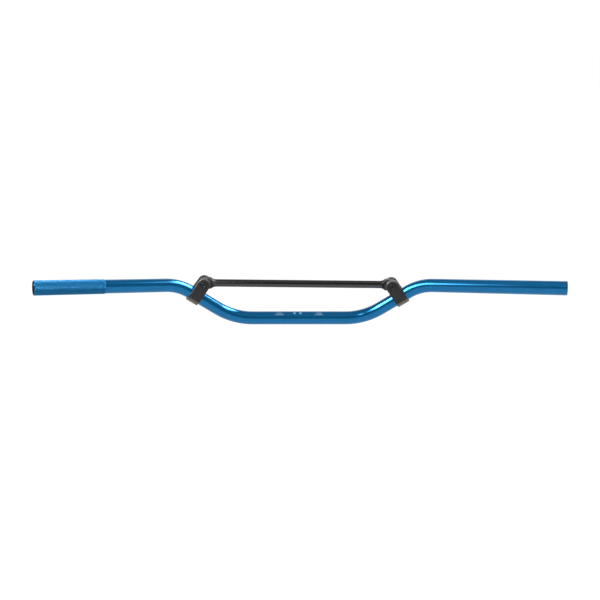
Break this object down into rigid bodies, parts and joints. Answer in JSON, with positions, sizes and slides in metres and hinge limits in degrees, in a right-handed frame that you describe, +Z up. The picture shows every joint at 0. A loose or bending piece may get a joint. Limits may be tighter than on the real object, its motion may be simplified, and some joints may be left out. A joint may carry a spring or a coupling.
{
  "type": "motocross handlebar",
  "caption": "Bent tubular handlebar with a bolted crossbar held between the ears of forged clamps, knurled at its left end.",
  "frame": {"origin": "on the tube's axis, in the middle of the straight centre section that the steering stem clamps", "axes": "+X along the centre section towards the rider's right hand, +Z up in the plane of the risers and the crossbar, rider on the -Y side"},
  "size_m": [0.8211, 0.119, 0.1204],
  "materials": {
    "tube": "satin blue anodised",
    "crossbar": "black anodised",
    "clamp": "dark grey, blasted and anodised",
    "bolt": "black oxide",
    "washer": "zinc plated",
    "nut": "zinc plated"
  },
  "bodies": {
    "root": {"handlebar_tube": "tube", "crossbar": "crossbar", "left_clamp": "clamp", "right_clamp": "clamp", "left_clamp_bolt": "bolt", "right_clamp_bolt": "bolt", "left_clamp_washer": "washer", "right_clamp_washer": "washer", "left_lock_nut": "nut", "right_lock_nut": "nut"}
  },
  "joints": []
}
